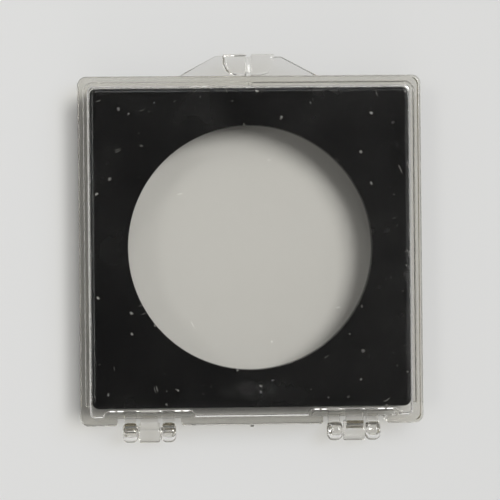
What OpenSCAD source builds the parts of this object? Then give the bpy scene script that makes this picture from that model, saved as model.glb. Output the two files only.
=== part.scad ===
// Snap lock coin holder: two clear shells from one mould, hinged at one edge and snapped
// shut at the other, around a black insert with a round hole for one coin.
//
// Millimetres. +Z points out of the front shell, +Y from the hinge edge to the latch edge.
// The origin is on the rear shell's outer face, under the middle of the coin.

/* [Coin] */
// Diameter of the coin
coin_d = 38.1; // [30:0.1:42]
// Gap left all round the coin in its hole
coin_fit = 0.15; // [0.05:0.05:0.4]

/* [Insert] */
// Side of the square insert
insert_w = 50.2; // [48:0.2:58]
// Thickness of the insert
insert_t = 3.4; // [2.8:0.1:6]
// Radius of the insert's corners
insert_r = 1.2; // [0.8:0.1:3]
// Width of the slope round the insert's faces
insert_slope = 0.6; // [0.2:0.05:0.75]
// Height of that slope
insert_slope_h = 0.25; // [0.1:0.05:0.6]
// Bevel round the insert's hole
hole_bevel = 0.15; // [0.05:0.05:0.5]

/* [Shells] */
// Gap between the insert and the walls round it
insert_gap = 0.3; // [0.1:0.05:0.6]
// Gap between the insert and the front shell's panel
insert_headroom = 0.2; // [0.1:0.05:0.6]
// Thickness of each shell's flat panel
panel_t = 1.4; // [1:0.1:2.4]
// Thickness of the side walls and the latch wall
side_wall = 1.5; // [1.2:0.1:3]
// Thickness of the hinge wall
hinge_wall = 1.2; // [0.9:0.05:1.6]
// Radius of the shells' outer corners
corner_r = 1.4; // [1:0.1:3]
// Rounding round the panel's outer face
edge_r = 0.5; // [0.2:0.05:0.8]
// Radius of the corners inside the walls
cavity_r = 0.8; // [0.3:0.1:1.2]
// Rounding along the foot of the walls, inside
cavity_edge = 0.5; // [0.1:0.05:0.7]

/* [Lip] */
// Height of the lip that stands above the meeting face
lip_h = 0.8; // [0.4:0.1:1.2]
// Thickness of the lip
lip_t = 0.5; // [0.4:0.05:0.8]
// Gap round the lip in the other shell's rebate
lip_fit = 0.12; // [0.05:0.01:0.25]
// Distance from the hinge wall to where the lip starts
lip_start = 2; // [1:0.1:5]
// Distance from the middle of the latch wall to where the lip ends
lip_end = 0.5; // [0.2:0.05:2]

/* [Hinge] */
// Distance between the middles of the two hinges
hinge_span = 32.2; // [24:0.2:35]
// Distance of the hinge axis outside the hinge wall
hinge_out = 1.2; // [0.9:0.05:1.5]
// Radius of the knuckles
knuckle_r = 1.6; // [1.3:0.05:1.75]
// Width of the single knuckle
tongue_w = 3.3; // [2.6:0.1:4.4]
// Width of each knuckle in a pair
ear_w = 2.4; // [2:0.1:3]
// Gap between neighbouring knuckles
knuckle_gap = 0.15; // [0.05:0.05:0.4]
// Rounding of the paired knuckles' rims
ear_rim = 0.9; // [0.2:0.05:0.95]
// Rounding of the single knuckle's rims
tongue_rim = 0.25; // [0.1:0.05:0.6]
// How much narrower an arm is than its knuckle, on each side
arm_step = 0.3; // [0.1:0.05:0.6]
// Distance of an arm's top from the meeting face
arm_drop = 0.3; // [0.1:0.05:0.6]
// Distance of an arm's foot from the panel's outer face
arm_lift = 0.3; // [0.1:0.05:0.6]
// Radius of the hinge pins
pin_r = 0.8; // [0.5:0.05:0.9]
// Gap round a pin in its hole
pin_fit = 0.05; // [0.02:0.01:0.1]
// How far a pin's tip stays inside the paired knuckle
pin_recess = 0.4; // [0.1:0.05:0.8]
// Gap beside the knuckles in the opening through the hinge wall
opening_gap = 0.8; // [0.2:0.05:1.2]
// Rounding of the hinge wall's ends beside that opening
wall_end_r = 0.5; // [0.2:0.05:0.8]
// Depth of the pocket behind the opening, from the hinge wall's outer face
pocket_in = 1.9; // [1.7:0.05:2.6]
// How far the pocket runs on behind the wall beside the opening
pocket_side = 1.7; // [0.5:0.1:3]
// Rounding of the pocket's back corners
pocket_round = 0.6; // [0.2:0.05:1]
// Thickness of the web that closes the pocket's back and ends
pocket_web = 0.45; // [0.3:0.05:0.8]
// Width of the slope on the web's inner edge, which guides the insert in
web_lead = 0.3; // [0.1:0.05:0.4]
// Height of that slope
web_lead_h = 0.25; // [0.1:0.01:0.4]

/* [Latch] */
// Width of each snap finger, seen from the front
finger_w = 3.6; // [3:0.1:4.6]
// Length of each snap finger, seen from the front
finger_l = 3.3; // [2.8:0.1:5]
// Rounding of the finger's inner corner, seen from the front
finger_round = 2.2; // [1:0.1:2.6]
// Gap between a finger and the other shell's latch wall
finger_gap = 0.2; // [0.1:0.05:0.5]
// Width of the slot between the two fingers
slot_w = 0.8; // [0.5:0.05:1]
// Radius of the snap bead on each finger
bead_r = 0.55; // [0.45:0.05:0.65]
// How far the two beads overlap across the slot
bead_bite = 0.14; // [0.05:0.01:0.2]
// Gap between the two beads when shut
bead_gap = 0.1; // [0.05:0.01:0.2]
// Distance of a bead's ends from the finger's ends
bead_inset = 0.4; // [0.2:0.1:1]
// Distance from the slot's middle to the thumb tab's end at the wall
tab_root = 11.2; // [8:0.2:18]
// Distance from the slot's middle to the thumb tab's end at its tip
tab_tip = 5.2; // [4.4:0.1:7]
// How far the thumb tab stands out from the wall
tab_out = 3.2; // [2:0.1:5]
// Thickness of the thumb tab
tab_t = 1.2; // [0.8:0.1:1.6]
// Distance of the thumb tab from the meeting face
tab_drop = 0.3; // [0.1:0.05:0.6]

/* [Moulding marks] */
// Radius of the stub that the moulding gate leaves on the hinge wall
gate_r = 0.45; // [0.2:0.05:0.8]
// Length of that stub
gate_l = 0.4; // [0.1:0.05:0.7]

/* [Hidden] */
$fn = 64;
overlap = 0.2;                                  // how far joined solids run into each other

hole_r = coin_d / 2 + coin_fit;
half_t = (2 * panel_t + insert_t + insert_headroom) / 2;
wall_h = half_t - panel_t;

// The cavity inside the walls, and the case round it. At the hinge end the insert stops at the
// pockets' webs, so the cavity runs on past it to the hinge wall.
seat = insert_w / 2 + insert_gap;
cavity_w = 2 * seat;
latch_y = seat + side_wall;
hinge_y = -seat - pocket_web - pocket_in;
cavity_l = seat - hinge_y - hinge_wall;
cavity_y = seat - cavity_l / 2;
case_w = cavity_w + 2 * side_wall;
case_l = latch_y - hinge_y;
case_y = (latch_y + hinge_y) / 2;
corner_share = 0.9;                             // most of a corner's room that its rounding may take
cavity_foot = min(cavity_edge, corner_share * cavity_r);

hinge_x = hinge_span / 2;
axis_y = hinge_y - hinge_out;
ear_x = tongue_w / 2 + knuckle_gap + ear_w / 2; // middle of an ear, from its hinge's middle
pin_l = knuckle_gap + ear_w - pin_recess;       // length of pin that stands out of the single knuckle
opening_w = 2 * ear_x + ear_w + 2 * opening_gap;
pocket_w = opening_w + 2 * pocket_side;
pocket_l = pocket_in - hinge_wall;              // depth of the pocket behind the wall
pocket_corner = min(pocket_round, corner_share * pocket_l);

finger_z = tab_drop + tab_t;                    // a finger reaches this far either side of the meeting face
bead_out = (slot_w + bead_bite) / 2;            // how far a bead stands into the slot
bead_x = slot_w / 2 + bead_r - bead_out;        // a bead's axis, from the slot's middle
bead_z = sqrt(pow(2 * bead_r + bead_gap, 2) - pow(2 * bead_x, 2)) / 2;

clear_plastic = [0.86, 0.87, 0.84, 0.35];
insert_black = [0.04, 0.04, 0.04];

// A slab with rounded corners, from z = 0 up. The child is the outline of its edge: x runs from
// 0 on a corner's axis to r on the outer face, and y from 0 to the slab's height.
module slab(w, l, r, h) {
    translate([-w / 2 + r, -l / 2 + r, 0]) cube([w - 2 * r, l - 2 * r, h]);
    for (side = [0:3]) {
        across = side % 2 == 0 ? w : l;
        along = side % 2 == 0 ? l : w;
        rotate(90 * side) translate([across / 2 - r, along / 2 - r, 0]) {
            rotate([90, 0, 0]) linear_extrude(along - 2 * r) children();
            rotate_extrude(angle = 90) children();
        }
    }
}

// A slab with square edges.
module plain_slab(w, l, r, h) {
    slab(w, l, r, h) square([r, h]);
}

// A quarter of a disc, right of and above its centre.
module quarter_disc(r) {
    intersection() {
        circle(r);
        square(r);
    }
}

// A rectangle with its lower right corner rounded.
module rounded_foot(w, h, e) {
    square([w - e, h]);
    translate([0, e]) square([w, h - e]);
    translate([w - e, e]) mirror([0, 1]) quarter_disc(e);
}

// A rectangle with both right corners rounded.
module rounded_rim(w, h, e) {
    square([w - e, h]);
    translate([0, e]) square([w, h - 2 * e]);
    translate([w - e, e]) mirror([0, 1]) quarter_disc(e);
    translate([w - e, h - e]) quarter_disc(e);
}

// A rectangle with a slope across both right corners, of width a and height b.
module sloped_rim(w, h, a, b) {
    polygon([[0, 0], [w - a, 0], [w, b], [w, h - b], [w - a, h], [0, h]]);
}

// A rectangle with both far corners rounded, centred in X.
module rounded_back(w, l, e) {
    translate([w / 2, 0]) rotate(90) rounded_rim(l, w, e);
}

// An extrusion along X, centred, of an outline given in Y and Z.
module along_x(w) {
    translate([-w / 2, 0, 0]) rotate([90, 0, 90]) linear_extrude(w) children();
}

// The modules below draw one shell with its meeting face at z = 0 and its panel underneath.

// The tray: flat panel and four walls.
module tray() {
    difference() {
        translate([0, case_y, -half_t]) slab(case_w, case_l, corner_r, half_t)
            rounded_foot(corner_r, half_t, edge_r);
        translate([0, cavity_y, -wall_h]) slab(cavity_w, cavity_l, cavity_r, half_t)
            rounded_foot(cavity_r, half_t, cavity_foot);
    }
}

// A band that follows the walls from the hinge end of the -X side to the middle of the latch
// side, from the cavity outwards by t.
module lip_band(t, z0, z1, start, middle) {
    w = cavity_w + 2 * t;
    l = cavity_l + 2 * t;
    h = z1 - z0;
    translate([0, cavity_y, z0]) intersection() {
        difference() {
            plain_slab(w, l, cavity_r + t, h);
            translate([0, 0, -overlap]) plain_slab(cavity_w, cavity_l, cavity_r, h + 2 * overlap);
        }
        translate([-w, -cavity_l / 2 + start, -overlap]) cube([w - middle, l, h + 2 * overlap]);
    }
}

// The lip on the -X half, and the rebate on the +X half for the other shell's lip.
module lip() {
    lip_band(lip_t, -overlap, lip_h, lip_start, lip_end);
}

module rebate() {
    mirror([1, 0, 0])
        lip_band(lip_t + lip_fit, -lip_h - lip_fit, overlap, lip_start - lip_fit, 0);
}

// The block that a hinge's pocket is cut into, behind the hinge wall.
module pocket_block() {
    w = pocket_w + 2 * pocket_web;
    l = pocket_l + pocket_web + overlap;
    translate([0, hinge_y + hinge_wall - overlap, -wall_h - overlap]) linear_extrude(wall_h + overlap)
        rounded_back(w, l, pocket_corner + pocket_web);
}

// What the slope takes off that block's web.
module web_slope() {
    along_x(pocket_w + 2 * pocket_web) polygon([
        [-seat, -web_lead_h], [-seat - web_lead, 0], [-seat - web_lead, overlap],
        [-seat + overlap, overlap], [-seat + overlap, -web_lead_h]
    ]);
}

// The end of the hinge wall at the left of an opening, with its outer corner rounded.
module wall_end(l) {
    w = 2 * wall_end_r;
    translate([-opening_w / 2 - w, 0]) rounded_foot(w, l, wall_end_r);
}

// The outline of an opening through the hinge wall, from outside the wall to l behind its face.
module opening(l) {
    w = opening_w + 2 * wall_end_r;
    difference() {
        translate([-w / 2, -overlap]) square([w, l + overlap]);
        wall_end(l + overlap);
        mirror([1, 0]) wall_end(l + overlap);
    }
}

// The pocket, and the opening through the wall and the panel's rim in front of it.
module pocket() {
    translate([0, hinge_y + hinge_wall, -wall_h]) linear_extrude(wall_h + overlap)
        rounded_back(pocket_w, pocket_l, pocket_corner);
    translate([0, hinge_y, -wall_h]) linear_extrude(wall_h + overlap) opening(hinge_wall + overlap);
    translate([0, hinge_y, -half_t - overlap]) linear_extrude(half_t) opening(hinge_wall);
}

// The arm that carries a knuckle, from the web and the panel.
module arm(w) {
    flank = knuckle_r / 2;
    root_y = hinge_y + pocket_in + pocket_web / 2;
    foot_z = arm_lift - half_t;
    along_x(w - 2 * arm_step) polygon([
        [axis_y, -arm_drop], [axis_y - flank, -flank],
        [hinge_y, foot_z], [root_y, foot_z], [root_y, -arm_drop]
    ]);
}

module knuckle(w, rim) {
    translate([0, axis_y, 0]) rotate([0, 90, 0]) translate([0, 0, -w / 2])
        rotate_extrude() rounded_rim(knuckle_r, w, rim);
    arm(w);
}

// A knuckle of a pair, bored for the pin.
module ear() {
    difference() {
        knuckle(ear_w, ear_rim);
        translate([0, axis_y, 0]) rotate([0, 90, 0])
            cylinder(r = pin_r + pin_fit, h = ear_w + 2 * overlap, center = true);
    }
}

// The single knuckle with a pin on each side, cone-tipped so that it snaps in between the ears.
module tongue() {
    tip = pin_r / 2;
    straight = tongue_w / 2 + pin_l - tip;
    knuckle(tongue_w, tongue_rim);
    for (side = [-1, 1]) translate([0, axis_y, 0]) rotate([0, 90 * side, 0]) {
        cylinder(r = pin_r, h = straight);
        translate([0, 0, straight]) cylinder(r1 = pin_r, r2 = pin_r - tip, h = tip);
    }
}

// Half of the latch: a thumb tab, a finger that reaches across the meeting face beside the other
// shell's finger, and the bead that snaps past the other finger's bead.
module latch() {
    finger_y = latch_y + finger_gap;
    translate([0, 0, -finger_z]) {
        linear_extrude(tab_t) polygon([
            [slot_w / 2, latch_y - overlap], [tab_root, latch_y - overlap], [tab_root, latch_y],
            [tab_tip, latch_y + tab_out], [slot_w / 2, latch_y + tab_out]
        ]);
        translate([slot_w / 2, finger_y, 0]) linear_extrude(2 * finger_z)
            rounded_foot(finger_w, finger_l, finger_round);
    }
    translate([bead_x, finger_y + finger_l - bead_inset, bead_z]) rotate([90, 0, 0])
        cylinder(r = bead_r, h = finger_l - 2 * bead_inset);
}

// The stub of the moulding gate, in the middle of the hinge wall.
module gate_stub() {
    translate([0, hinge_y + overlap, -half_t / 2]) rotate([90, 0, 0])
        cylinder(r1 = gate_r, r2 = gate_r / 2, h = gate_l + overlap);
}

// One moulded shell. Turned over about Y, a second one fits on top of it.
module shell() {
    difference() {
        union() {
            tray();
            for (side = [-1, 1]) translate([side * hinge_x, 0, 0]) pocket_block();
        }
        rebate();
        for (side = [-1, 1]) translate([side * hinge_x, 0, 0]) {
            pocket();
            web_slope();
        }
    }
    lip();
    translate([-hinge_x, 0, 0]) tongue();
    for (side = [-1, 1]) translate([hinge_x + side * ear_x, 0, 0]) ear();
    latch();
    gate_stub();
}

module rear_shell() {
    color(clear_plastic) translate([0, 0, half_t]) shell();
}

module front_shell() {
    color(clear_plastic) translate([0, 0, half_t]) rotate([0, 180, 0]) shell();
}

// The insert lies on the rear panel and fills the case round the coin.
module coin_insert() {
    color(insert_black) translate([0, 0, panel_t]) difference() {
        slab(insert_w, insert_w, insert_r, insert_t)
            sloped_rim(insert_r, insert_t, insert_slope, insert_slope_h);
        translate([0, 0, -overlap]) cylinder(r = hole_r, h = insert_t + 2 * overlap);
        cylinder(r1 = hole_r + hole_bevel, r2 = hole_r, h = hole_bevel);
        translate([0, 0, insert_t - hole_bevel])
            cylinder(r1 = hole_r, r2 = hole_r + hole_bevel, h = hole_bevel);
    }
}

rear_shell();
front_shell();
coin_insert();
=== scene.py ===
import math

import bmesh
import bpy
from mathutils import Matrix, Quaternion, Vector


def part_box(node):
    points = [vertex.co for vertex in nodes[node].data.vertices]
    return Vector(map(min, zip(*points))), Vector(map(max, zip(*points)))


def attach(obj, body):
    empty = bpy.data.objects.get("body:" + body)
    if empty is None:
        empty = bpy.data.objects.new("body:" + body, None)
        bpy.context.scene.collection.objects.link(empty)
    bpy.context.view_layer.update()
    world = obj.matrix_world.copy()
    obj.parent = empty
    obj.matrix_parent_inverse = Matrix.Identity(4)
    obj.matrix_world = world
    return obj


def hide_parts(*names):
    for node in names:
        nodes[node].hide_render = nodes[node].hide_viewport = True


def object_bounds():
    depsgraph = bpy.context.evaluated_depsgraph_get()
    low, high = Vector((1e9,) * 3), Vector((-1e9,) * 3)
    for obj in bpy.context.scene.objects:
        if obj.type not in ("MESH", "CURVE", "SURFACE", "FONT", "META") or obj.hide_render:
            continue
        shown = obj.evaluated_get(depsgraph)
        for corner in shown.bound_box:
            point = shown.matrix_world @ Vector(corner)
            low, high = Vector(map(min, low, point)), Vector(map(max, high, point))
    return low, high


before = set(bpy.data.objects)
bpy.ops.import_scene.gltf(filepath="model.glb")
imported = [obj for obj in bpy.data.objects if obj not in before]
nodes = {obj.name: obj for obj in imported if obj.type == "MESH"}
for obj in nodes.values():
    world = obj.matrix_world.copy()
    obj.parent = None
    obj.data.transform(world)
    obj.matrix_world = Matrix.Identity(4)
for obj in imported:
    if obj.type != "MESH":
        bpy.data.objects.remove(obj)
cadLow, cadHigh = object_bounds()
mm = 0.001
print("frame loaded:", ", ".join(sorted(nodes)))


# node helpers: most return a socket, so that a material reads as one chain
def feed(tree, value, socket):
    if isinstance(value, bpy.types.NodeSocket):
        tree.links.new(value, socket)
    else:
        socket.default_value = value


def maths(tree, operation, *values, clamp=False):
    n = tree.nodes.new("ShaderNodeMath")
    n.operation = operation
    n.use_clamp = clamp
    for socket, v in zip(n.inputs, values):
        feed(tree, v, socket)
    return n.outputs[0]


def remap(tree, value, low, high, newLow, newHigh, kind="LINEAR"):
    n = tree.nodes.new("ShaderNodeMapRange")
    n.interpolation_type = kind
    for socket, v in zip(n.inputs, (value, low, high, newLow, newHigh)):
        feed(tree, v, socket)
    return n.outputs[0]


def stretched(tree, vector, size, turn=0.0, centre=(0, 0, 0)):
    # one unit of the new places is as long as size says, after the turn
    n = tree.nodes.new("ShaderNodeMapping")
    n.vector_type = "TEXTURE"
    feed(tree, vector, n.inputs["Vector"])
    n.inputs["Location"].default_value = centre
    n.inputs["Rotation"].default_value = (0, 0, math.radians(turn))
    n.inputs["Scale"].default_value = size
    return n.outputs[0]


def noise(tree, vector, scale, detail=2.0, output="Fac"):
    n = tree.nodes.new("ShaderNodeTexNoise")
    feed(tree, vector, n.inputs["Vector"])
    n.inputs["Scale"].default_value = scale
    n.inputs["Detail"].default_value = detail
    return n.outputs[output]


def wandering(tree, vector, scale, reach):
    # places shifted by a noise, so that what is drawn on them gets an uneven outline
    n = tree.nodes.new("ShaderNodeVectorMath")
    n.operation = "MULTIPLY_ADD"
    tree.links.new(noise(tree, vector, scale, output="Color"), n.inputs[0])
    n.inputs[1].default_value = (reach,) * 3
    feed(tree, vector, n.inputs[2])
    return n.outputs[0]


faintestSpot = 0.25    # how strongly the weakest mark shows


def spots(tree, vector, share, size, softness):
    # marks round the cell points of a Voronoi pattern; only that share of the cells holds one
    cells = tree.nodes.new("ShaderNodeTexVoronoi")
    cells.inputs["Scale"].default_value = 1.0
    feed(tree, vector, cells.inputs["Vector"])
    split = tree.nodes.new("ShaderNodeSeparateColor")
    tree.links.new(cells.outputs["Color"], split.inputs[0])
    empty = maths(tree, "SUBTRACT", 1.0, share)
    reach = remap(tree, split.outputs[0], empty, 1.0, 0.0, size)
    inside = maths(tree, "SUBTRACT", reach, cells.outputs["Distance"])
    strength = remap(tree, split.outputs[1], 0.0, 1.0, faintestSpot, 1.0)
    shown = maths(tree, "DIVIDE", inside, softness, clamp=True)
    return maths(tree, "MULTIPLY", shown, strength)


def mixColour(tree, share, first, second):
    n = tree.nodes.new("ShaderNodeMix")
    n.data_type = "RGBA"
    feed(tree, share, n.inputs["Factor"])
    feed(tree, first, n.inputs[6])    # 6, 7 and the output 2 are the node's colour sockets
    feed(tree, second, n.inputs[7])
    return n.outputs[2]


def bump(tree, height, distance):
    n = tree.nodes.new("ShaderNodeBump")
    n.inputs["Distance"].default_value = distance
    feed(tree, height, n.inputs["Height"])
    return n.outputs[0]


def newGroup(name, shares, outputs):
    # takes places, and how large a share of them holds a mark, and puts out masks
    tree = bpy.data.node_groups.new(name, "ShaderNodeTree")
    tree.interface.new_socket(name="Vector", in_out="INPUT", socket_type="NodeSocketVector")
    for label in shares:
        tree.interface.new_socket(name=label, in_out="INPUT", socket_type="NodeSocketFloat")
    for label in outputs:
        tree.interface.new_socket(name=label, in_out="OUTPUT", socket_type="NodeSocketFloat")
    return tree, tree.nodes.new("NodeGroupInput"), tree.nodes.new("NodeGroupOutput")


def placeGroup(tree, group, vector, **shares):
    n = tree.nodes.new("ShaderNodeGroup")
    n.node_tree = group
    feed(tree, vector, n.inputs["Vector"])
    for label, share in shares.items():
        n.inputs[label].default_value = share
    return n.outputs


def newMaterial(name):
    m = bpy.data.materials.new(name)
    m.use_nodes = True
    tree = m.node_tree
    tree.nodes.clear()
    out = tree.nodes.new("ShaderNodeOutputMaterial")
    shader = tree.nodes.new("ShaderNodeBsdfPrincipled")
    tree.links.new(shader.outputs[0], out.inputs["Surface"])
    where = tree.nodes.new("ShaderNodeTexCoord").outputs["Object"]
    return m, tree, shader, out, where


# dust, shared by the clear plastic and the insert
dust = {
    "speckCell": (1.8 * mm,) * 3,   # spacing of the places where a speck may lie
    "speckSize": 0.17,              # largest speck, in cells
    "speckSoft": 0.07,
    "speckScale": 1700.0,           # per metre, of the unevenness
    "speckBend": 0.8 * mm,
    "fibreCell": (6 * mm, 0.5 * mm, 6 * mm),   # along a fibre, across it, and through the surface
    "fibreSize": 0.15,
    "fibreSoft": 0.06,
    "fibreScale": 260.0,
    "fibreBend": 1.6 * mm,          # how far a fibre wanders off its line
    "fibreTurns": (22, 118),        # deg
}


def makeDustGroup(p):
    tree, start, end = newGroup("settledDust", ["Specks", "Fibres"], ["Specks", "Fibres"])
    where = start.outputs["Vector"]
    uneven = wandering(tree, where, p["speckScale"], p["speckBend"])
    grid = stretched(tree, uneven, p["speckCell"])
    specks = spots(tree, grid, start.outputs["Specks"], p["speckSize"], p["speckSoft"])
    feed(tree, specks, end.inputs["Specks"])
    bent = wandering(tree, where, p["fibreScale"], p["fibreBend"])
    threads = 0.0
    for turn in p["fibreTurns"]:
        lane = stretched(tree, bent, p["fibreCell"], turn)
        found = spots(tree, lane, start.outputs["Fibres"], p["fibreSize"], p["fibreSoft"])
        threads = maths(tree, "MAXIMUM", found, threads)
    feed(tree, threads, end.inputs["Fibres"])
    return tree


# fine scratches on the clear plastic
hairlines = {
    "cell": (26 * mm, 0.45 * mm, 8 * mm),   # along a scratch, across it, and through the surface
    "size": 0.2,
    "soft": 0.1,
    "turns": (9, 63, 141),                  # deg
}


def makeHairlineGroup(p):
    tree, start, end = newGroup("hairlines", ["Share"], ["Lines"])
    lines = 0.0
    for turn in p["turns"]:
        lane = stretched(tree, start.outputs["Vector"], p["cell"], turn)
        found = spots(tree, lane, start.outputs["Share"], p["size"], p["soft"])
        lines = maths(tree, "MAXIMUM", found, lines)
    feed(tree, lines, end.inputs["Lines"])
    return tree


dustGroup = makeDustGroup(dust)
hairlineGroup = makeHairlineGroup(hairlines)
print("finish groups made: dust, hairlines")


# clear polystyrene
clearPlastic = {
    "tint": (0.997, 0.996, 0.993, 1),
    "tintDeep": (0.99, 0.988, 0.98, 1),
    "bodyColour": (0.60, 0.54, 0.36, 1),     # light that runs far inside it turns a little tan
    "bodyDensity": 30.0,                     # per metre
    "ior": 1.58,
    "roughness": 0.018,
    "scratchShare": 0.10,                    # share of the places that hold one, as for the dust
    "scratchRough": 0.16,
    "specks": 0.1,
    "fibres": 0.03,
    "dustRough": 0.35,
    "blushAt": (0, -22.3 * mm, 0),           # hazy patch that the flow leaves by the gate
    "blushHalf": (6.6 * mm, 2.1 * mm, 1.0),  # half its size; the last takes in any height
    "blushEdge": (0.1, 1.2),                 # where it starts to fade and ends, in its own size
    "blushRough": 0.21,
    "streakScale": 900.0,                    # per metre, of the streaks in it
    "streakDetail": 3.0,
    "streakNoise": (0.35, 0.65),
    "streakShow": (0.4, 1.0),
    "flowScale": 70.0,                       # slow waves in the moulded faces, per metre
    "flowDetail": 1.0,
    "flowDepth": 0.004 * mm,
    "shadowTint": (0.988, 0.986, 0.98, 1),
}


def makeClearPlastic(p):
    m, tree, shader, out, where = newMaterial("clearPlastic")
    marks = placeGroup(tree, hairlineGroup, where, Share=p["scratchShare"])
    bits = placeGroup(tree, dustGroup, where, Specks=p["specks"], Fibres=p["fibres"])
    slow = noise(tree, where, p["flowScale"], p["flowDetail"])

    feed(tree, mixColour(tree, slow, p["tint"], p["tintDeep"]), shader.inputs["Base Color"])

    oval = tree.nodes.new("ShaderNodeVectorMath")
    oval.operation = "LENGTH"
    tree.links.new(stretched(tree, where, p["blushHalf"], centre=p["blushAt"]), oval.inputs[0])
    haze = remap(tree, oval.outputs["Value"], *p["blushEdge"], p["blushRough"], 0.0, "SMOOTHSTEP")
    grit = noise(tree, where, p["streakScale"], p["streakDetail"])
    streaks = remap(tree, grit, *p["streakNoise"], *p["streakShow"])
    rough = maths(tree, "MULTIPLY_ADD", haze, streaks, p["roughness"])
    scratched = maths(tree, "MULTIPLY", marks["Lines"], p["scratchRough"])
    lint = maths(tree, "MAXIMUM", bits["Specks"], bits["Fibres"])
    dusted = maths(tree, "MULTIPLY", lint, p["dustRough"])
    rough = maths(tree, "ADD", rough, maths(tree, "ADD", scratched, dusted))
    feed(tree, rough, shader.inputs["Roughness"])

    feed(tree, bump(tree, slow, p["flowDepth"]), shader.inputs["Normal"])
    shader.inputs["IOR"].default_value = p["ior"]
    shader.inputs["Transmission Weight"].default_value = 1.0

    # light shines straight through it, so what lies inside and below is lit
    clear = tree.nodes.new("ShaderNodeBsdfTransparent")
    clear.inputs[0].default_value = p["shadowTint"]
    rays = tree.nodes.new("ShaderNodeLightPath")
    surface = shader.outputs[0]
    for kind in ("Is Shadow Ray", "Is Diffuse Ray"):
        mix = tree.nodes.new("ShaderNodeMixShader")
        tree.links.new(rays.outputs[kind], mix.inputs[0])
        tree.links.new(surface, mix.inputs[1])
        tree.links.new(clear.outputs[0], mix.inputs[2])
        surface = mix.outputs[0]
    tree.links.new(surface, out.inputs["Surface"])

    body = tree.nodes.new("ShaderNodeVolumeAbsorption")
    body.inputs["Color"].default_value = p["bodyColour"]
    body.inputs["Density"].default_value = p["bodyDensity"]
    tree.links.new(body.outputs[0], out.inputs["Volume"])
    return m


# black insert
insertFinish = {
    "black": (0.0022, 0.0022, 0.0023, 1),
    "blackWorn": (0.0036, 0.0036, 0.0035, 1),
    "dustColour": (0.33, 0.325, 0.305, 1),
    "dustRough": 0.4,
    "specks": 0.9,
    "fibres": 0.12,
    "roughness": 0.22,
    "roughSpread": 0.06,
    "specular": 0.5,
    "cloudScale": 120.0,           # per metre, of the wear
    "cloudDetail": 3.0,
    "wornNoise": (0.35, 0.65),     # part of the cloud over which black turns to worn black
    "roughNoise": (0.3, 0.7),      # and over which it gets rougher
    "grainScale": 4200.0,          # per metre
    "grainDepth": 0.003 * mm,
}


def makeInsertBlack(p):
    m, tree, shader, _, where = newMaterial("insertBlack")
    bits = placeGroup(tree, dustGroup, where, Specks=p["specks"], Fibres=p["fibres"])
    cloud = noise(tree, where, p["cloudScale"], p["cloudDetail"])
    grain = noise(tree, where, p["grainScale"])
    lint = maths(tree, "MAXIMUM", bits["Specks"], bits["Fibres"])
    worn = remap(tree, cloud, *p["wornNoise"], 0.0, 1.0)
    colour = mixColour(tree, worn, p["black"], p["blackWorn"])
    feed(tree, mixColour(tree, lint, colour, p["dustColour"]), shader.inputs["Base Color"])
    roughest = p["roughness"] + p["roughSpread"]
    spread = remap(tree, cloud, *p["roughNoise"], p["roughness"], roughest)
    feed(tree, maths(tree, "MULTIPLY_ADD", lint, p["dustRough"], spread), shader.inputs["Roughness"])
    shader.inputs["Specular IOR Level"].default_value = p["specular"]
    feed(tree, bump(tree, grain, p["grainDepth"]), shader.inputs["Normal"])
    return m


# the two clear shells: the CAD shape, with the small roundings that a mould leaves on edges
shellFinish = {
    "merge": 1e-7,              # m
    "near": 0.001 * mm,         # points this near to a plane lie on it
    "level": 0.999,             # Z of the normal from which a face is level
    "flat": 0.5,                # deg, triangles this near to flat become one face
    "sharp": 28,                # deg, sharper edges are rounded
    "segments": 2,
    "rounds": (                 # rounding of a chain of edges that stays past this Y
        (26.85 * mm, 0.08 * mm),    # tabs and snap fingers
        (-27 * mm, 0.1 * mm),       # lip, rebate and the insides of the walls
        (-1.0, 0.045 * mm),         # outside, with the narrow places at the hinges
    ),
    "latchWall": 26.9 * mm,     # outer face of the latch wall
    "latchFrom": 27 * mm,
    "cutAt": 2 * mm,            # where that face is cut, from the middle
    "slotHalf": 0.5 * mm,       # half of the slot between the fingers, with the beads' side of it
    "fingerRound": 0.6 * mm,    # round a finger's free end
    "fingerSegments": 6,
    "tabRound": 0.25 * mm,      # round a tab's outer face
    "tabSegments": 4,
    "apart": 0.012 * mm,        # hair gap left between faces that touch
}


def withoutRepeats(parts):
    return list(dict.fromkeys(parts))    # in the same order each run


def roundEdges(bm, edges, radius, segments, marked):
    # the flat faces are marked as strong, so that they alone say how the shading runs into a rounding
    bmesh.ops.bevel(
        bm, geom=edges, offset=radius, segments=segments, profile=0.5, affect="EDGES", material=-1,
        face_strength_mode=marked,
    )


def isSharp(edge, p):
    return edge.calc_face_angle(0) > math.radians(p["sharp"])


def sharpChains(bm, p):
    # the sharp edges, in groups that hang together
    bm.edges.index_update()
    loose = {e.index: e for e in bm.edges if isSharp(e, p)}
    chains = []
    while loose:
        ends = [loose.pop(next(iter(loose)))]
        chain = []
        while ends:
            e = ends.pop()
            chain.append(e)
            ends += [g for v in e.verts for g in v.link_edges if loose.pop(g.index, None)]
        chains.append(chain)
    return chains


def latchRim(bm, way, p):
    # edges of the latch's furthest level face that way in Z, but not those at the wall or the slot
    level = [f for f in bm.faces if way * f.normal.z > p["level"]]
    latch = [f for f in level if f.calc_center_median().y > p["latchFrom"]]
    end = max(latch, key=lambda f: (round(way * f.calc_center_median().z / p["near"]), f.calc_area()))
    offWall = [e for e in end.edges if max(v.co.y for v in e.verts) > p["latchFrom"]]
    return [e for e in offWall if max(abs(v.co.x) for v in e.verts) > p["slotHalf"]]


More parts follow.
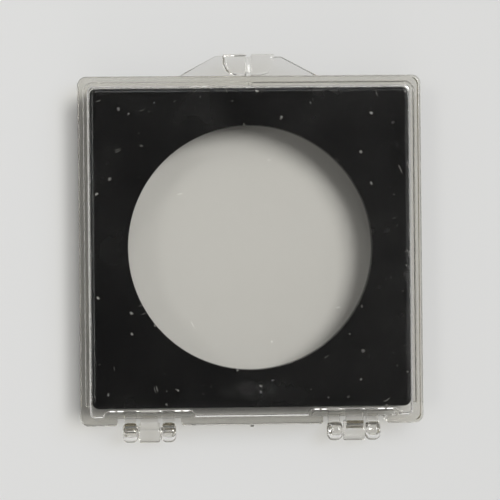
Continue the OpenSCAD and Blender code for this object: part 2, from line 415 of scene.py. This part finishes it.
def freeTabCorners(bm, side, p):
    # faces round a tab's root keep edges that join them; this moves one that ends at a rim's corner
    wall = [f for f in bm.faces if all(abs(v.co.y - p["latchWall"]) < p["near"] for v in f.verts)]
    parts = withoutRepeats(part for f in wall for part in (f, *f.edges, *f.verts))
    bmesh.ops.bisect_plane(bm, geom=parts, plane_co=(side * p["cutAt"], 0, 0), plane_no=(1, 0, 0))
    corners = withoutRepeats(v for e in latchRim(bm, -side, p) for v in e.verts)
    flat = math.radians(p["flat"])
    joins = withoutRepeats(e for v in corners for e in v.link_edges if e.calc_face_angle(1) < flat)
    bmesh.ops.dissolve_edges(bm, edges=joins)


def shapeShell(nodeName, side, seats, p):
    # side is 1 where the snap finger's free end looks up, -1 where it looks down
    bm = bmesh.new()
    bm.from_mesh(nodes[nodeName].data)
    bmesh.ops.remove_doubles(bm, verts=bm.verts, dist=p["merge"])
    for height, way in seats:
        level = [f for f in bm.faces if abs(f.normal.z) > p["level"]]
        corners = withoutRepeats(v for f in level for v in f.verts)
        touching = [v for v in corners if abs(v.co.z - height) < p["near"]]
        bmesh.ops.translate(bm, verts=touching, vec=(0, 0, way * p["apart"]))
    flat = math.radians(p["flat"])
    bmesh.ops.dissolve_limit(bm, angle_limit=flat, verts=bm.verts, edges=bm.edges)
    freeTabCorners(bm, side, p)
    roundEdges(bm, latchRim(bm, side, p), p["fingerRound"], p["fingerSegments"], "ALL")
    roundEdges(bm, latchRim(bm, -side, p), p["tabRound"], p["tabSegments"], "ALL")
    groups = {radius: [] for start, radius in p["rounds"]}
    for chain in sharpChains(bm, p):
        nearest = min(v.co.y for e in chain for v in e.verts)
        groups[next(radius for start, radius in p["rounds"] if nearest > start)] += chain
    for radius, edges in groups.items():
        roundEdges(bm, edges, radius, p["segments"], "NEW")
    for f in bm.faces:
        f.smooth = True
    return bm


def mouldedShell(nodeName, pieceName, body, side, seats, material, p):
    bm = shapeShell(nodeName, side, seats, p)
    mesh = bpy.data.meshes.new(pieceName)
    bm.to_mesh(mesh)
    bm.free()
    piece = bpy.data.objects.new(pieceName, mesh)
    bpy.context.scene.collection.objects.link(piece)
    mesh.materials.append(material)
    piece.modifiers.new("flatFaces", "WEIGHTED_NORMAL").use_face_influence = True
    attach(piece, body)
    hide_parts(nodeName)
    print(pieceName, "made:", len(mesh.polygons), "faces")


plastic = makeClearPlastic(clearPlastic)
meeting = (cadLow.z + cadHigh.z) / 2    # height at which the two walls meet
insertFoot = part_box("coin_insert")[0].z
rearSeats = [(meeting, -1), (insertFoot, -1)]
mouldedShell("rear_shell", "clear_rear_shell", "base", 1, rearSeats, plastic, shellFinish)
mouldedShell("front_shell", "clear_front_shell", "lid", -1, [(meeting, 1)], plastic, shellFinish)

insert = nodes["coin_insert"]
insert.data.materials.clear()
insert.data.materials.append(makeInsertBlack(insertFinish))
print("insert finished")


# floor, light and camera
stageLook = {
    "floorColour": (0.80, 0.80, 0.79, 1),
    "floorHalf": 3.0,              # m
    "floorDrop": 0.06 * mm,        # keeps the rear face clear of the floor
    "floorRough": 0.9,
    "floorShine": 0.1,
    "skyLow": (0.22, 0.22, 0.22, 1),
    "skyHigh": (0.008, 0.008, 0.008, 1),
    "skyChange": (0.8, 0.97),      # sines of the heights between which the low sky turns to the high
    "lightTurns": 40,              # light turns often inside the clear panels before it leaves them
}


def makeFloor(p):
    bm = bmesh.new()
    bmesh.ops.create_grid(bm, x_segments=1, y_segments=1, size=p["floorHalf"])
    bmesh.ops.translate(bm, verts=bm.verts, vec=(0, 0, cadLow.z - p["floorDrop"]))
    mesh = bpy.data.meshes.new("paleFloor")
    bm.to_mesh(mesh)
    bm.free()
    m, _, shader, _, _ = newMaterial("paleFloor")
    shader.inputs["Base Color"].default_value = p["floorColour"]
    shader.inputs["Roughness"].default_value = p["floorRough"]
    shader.inputs["Specular IOR Level"].default_value = p["floorShine"]
    mesh.materials.append(m)
    floor = bpy.data.objects.new("paleFloor", mesh)
    bpy.context.scene.collection.objects.link(floor)


def makeSky(p):
    world = bpy.data.worlds.new("studio")
    world.use_nodes = True
    tree = world.node_tree
    way = tree.nodes.new("ShaderNodeTexCoord").outputs["Generated"]
    split = tree.nodes.new("ShaderNodeSeparateXYZ")
    tree.links.new(way, split.inputs[0])
    height = remap(tree, split.outputs["Z"], *p["skyChange"], 0.0, 1.0, "SMOOTHSTEP")
    colour = mixColour(tree, height, p["skyLow"], p["skyHigh"])
    tree.links.new(colour, tree.nodes["Background"].inputs["Color"])
    bpy.context.scene.world = world


def letLightRun(p):
    cycles = bpy.context.scene.cycles
    cycles.max_bounces = p["lightTurns"]
    cycles.transmission_bounces = p["lightTurns"]
    cycles.glossy_bounces = p["lightTurns"]


# places and sizes in metres, strength in W/m2 for the sun and in W for the boxes, spread in deg
lamps = {
    "key": {"kind": "SUN", "at": (0.53, 0.30, 0.77), "strength": 2.25, "spread": 30},
    "backBox": {"kind": "AREA", "at": (-0.03, 0.40, 0.36), "strength": 0.31, "size": (0.22, 0.13)},
    "leftBox": {"kind": "AREA", "at": (-0.36, 0.03, 0.34), "strength": 0.23, "size": (0.18, 0.10)},
    "frontStrip": {"kind": "AREA", "at": (0.03, -0.42, 0.133), "strength": 0.14, "size": (0.24, 0.10)},
}


def makeLamp(name, p):
    data = bpy.data.lights.new(name, p["kind"])
    data.energy = p["strength"]
    if p["kind"] == "SUN":
        data.angle = math.radians(p["spread"])
    else:
        data.shape = "RECTANGLE"
        data.size, data.size_y = p["size"]
    lamp = bpy.data.objects.new(name, data)
    # the boxes shine through the plastic, with no white mirror image on it
    lamp.visible_glossy = p["kind"] == "SUN"
    lamp.location = p["at"]
    lamp.rotation_mode = "QUATERNION"
    lamp.rotation_quaternion = (-Vector(p["at"])).to_track_quat("-Z", "Y")
    bpy.context.scene.collection.objects.link(lamp)


shot = {
    "lens": 200,            # mm, a long lens for the flat look of the picture
    "near": 10 * mm,        # nothing nearer to the camera is drawn
    "across": 78.8 * mm,    # width of the view at the case
    "aim": (0, -0.4 * mm, meeting),
    "lean": 2.5,            # deg towards the left side
    "roll": -0.55,          # deg
}


def makeCamera(p):
    data = bpy.data.cameras.new("camera")
    data.lens = p["lens"]
    data.clip_start = p["near"]
    cam = bpy.data.objects.new("camera", data)
    lean = math.radians(p["lean"])
    back = Vector((-math.sin(lean), 0, math.cos(lean)))
    distance = p["across"] * data.lens / data.sensor_width
    cam.location = Vector(p["aim"]) + back * distance
    cam.rotation_mode = "QUATERNION"
    facing = Quaternion((0, 1, 0), -lean)
    cam.rotation_quaternion = facing @ Quaternion((0, 0, 1), math.radians(p["roll"]))
    bpy.context.scene.collection.objects.link(cam)
    bpy.context.scene.camera = cam


makeFloor(stageLook)
makeSky(stageLook)
letLightRun(stageLook)
for lampName, lampLook in lamps.items():
    makeLamp(lampName, lampLook)
makeCamera(shot)
bpy.context.scene.view_settings.view_transform = "Standard"
print("stage set:", len(lamps), "lamps")
